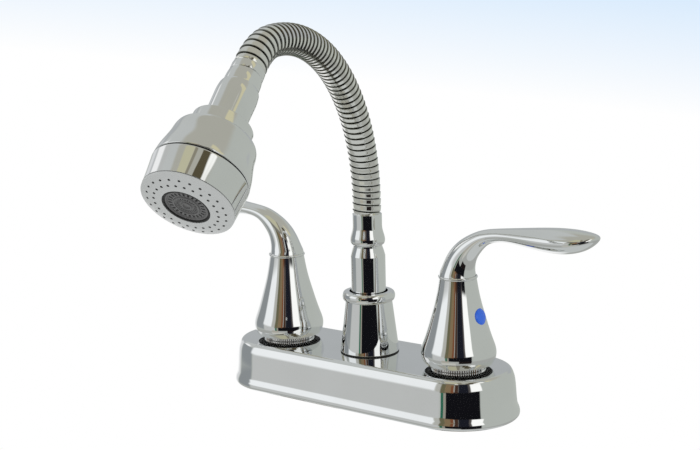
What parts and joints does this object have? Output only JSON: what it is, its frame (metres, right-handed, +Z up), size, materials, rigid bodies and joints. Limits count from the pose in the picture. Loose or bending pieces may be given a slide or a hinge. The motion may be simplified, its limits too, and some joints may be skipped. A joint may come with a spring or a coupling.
{
  "type": "basin mixer tap",
  "caption": "Two-handle centre-set basin mixer with a ribbed gooseneck, ball-jointed spray head and lever handles on one base plate.",
  "frame": {"origin": "centre of the base gasket's underside, on the deck's top surface", "axes": "+Z up out of the deck, -Y towards the user, +X towards the cold handle"},
  "size_m": [0.2414, 0.1928, 0.2317],
  "materials": {
    "chrome": "polished chrome plate",
    "hose_chrome": "polished chrome on wound strip",
    "brass": "machined brass",
    "steel": "zinc-plated steel",
    "ceramic": "lapped alumina ceramic",
    "black_rubber": "moulded rubber",
    "dark_plastic": "moulded acetal",
    "white_plastic": "moulded acetal",
    "liner_plastic": "extruded polyethylene",
    "face_plastic": "smooth moulded plastic, light grey",
    "screen_plastic": "moulded plastic, dark grey",
    "blue_plastic": "gloss plastic, blue",
    "red_plastic": "gloss plastic, red"
  },
  "bodies": {
    "deck": {"base_plate": "chrome", "base_gasket": "black_rubber", "water_body": "brass", "spout_shroud": "chrome", "shroud_gasket": "black_rubber", "spout_clip": "white_plastic", "cold_supply_shank": "brass", "cold_deck_washer": "steel", "cold_mounting_nut": "dark_plastic", "cold_seat_seal": "black_rubber", "cold_fixed_disc": "ceramic", "cold_cartridge": "brass", "cold_stem_seal": "black_rubber", "cold_lock_ring": "chrome", "hot_supply_shank": "brass", "hot_deck_washer": "steel", "hot_mounting_nut": "dark_plastic", "hot_seat_seal": "black_rubber", "hot_fixed_disc": "ceramic", "hot_cartridge": "brass", "hot_stem_seal": "black_rubber", "hot_lock_ring": "chrome"},
    "hot_handle": {"hot_moving_disc": "ceramic", "hot_stem": "brass", "hot_skirt": "chrome", "hot_neck_ring": "chrome", "hot_lever": "chrome", "hot_set_screw": "steel", "hot_index_button": "red_plastic"},
    "cold_handle": {"cold_moving_disc": "ceramic", "cold_stem": "brass", "cold_skirt": "chrome", "cold_neck_ring": "chrome", "cold_lever": "chrome", "cold_set_screw": "steel", "cold_index_button": "blue_plastic"},
    "spout": {"spout_column": "chrome", "column_orings": "black_rubber", "lower_ferrule": "chrome", "gooseneck_hose": "hose_chrome", "hose_liner": "liner_plastic"},
    "hose_end": {"upper_ferrule": "chrome", "swivel_sleeve": "chrome", "ball_stud": "chrome"},
    "ball_ring": {"slip_ring": "white_plastic"},
    "ball_seat": {"ball_seal": "black_rubber"},
    "head": {"ball_nut": "chrome", "head_dome": "chrome", "inlet_core": "dark_plastic", "seam_ring": "black_rubber"},
    "selector": {"selector_ring": "chrome", "selector_plate": "dark_plastic", "face_plate": "face_plastic", "nozzle_mat": "black_rubber", "aerator_housing": "screen_plastic", "aerator_ring": "black_rubber", "aerator_screen": "screen_plastic", "flow_regulator": "dark_plastic"}
  },
  "joints": [
    {"name": "hot_handle_turn", "type": "hinge", "parent": "deck", "child": "hot_handle", "pos_m": [-0.0508, 0, 0.03], "axis": [0, 0, 1], "range_deg": [0, 90]},
    {"name": "cold_handle_turn", "type": "hinge", "parent": "deck", "child": "cold_handle", "pos_m": [0.0508, 0, 0.03], "axis": [0, 0, 1], "range_deg": [-90, 0]},
    {"name": "spout_swivel", "type": "hinge", "parent": "deck", "child": "spout", "pos_m": [0, 0, 0.03], "axis": [0, 0, 1], "continuous": true},
    {"name": "hose_flex", "type": "hinge", "parent": "spout", "child": "hose_end", "pos_m": [0.00845, -0.03974, 0.14931], "axis": [0.9781, 0.2079, 0], "range_deg": [-25, 4], "deforming": ["gooseneck_hose", "hose_liner"]},
    {"name": "head_tilt", "type": "hinge", "parent": "hose_end", "child": "ball_ring", "pos_m": [0.02736, -0.12871, 0.14157], "axis": [0.9781, 0.2079, 0], "range_deg": [-8, 8]},
    {"name": "head_swing", "type": "hinge", "parent": "ball_ring", "child": "ball_seat", "pos_m": [0.02736, -0.12871, 0.14157], "axis": [-0.1431, 0.6733, -0.7254], "range_deg": [-8, 8]},
    {"name": "head_spin", "type": "hinge", "parent": "ball_seat", "child": "head", "pos_m": [0.02736, -0.12871, 0.14157], "axis": [0.1508, -0.7095, -0.6884], "continuous": true},
    {"name": "selector_turn", "type": "hinge", "parent": "head", "child": "selector", "pos_m": [0.03245, -0.15269, 0.1183], "axis": [0.1508, -0.7095, -0.6884], "range_deg": [0, 60]}
  ]
}
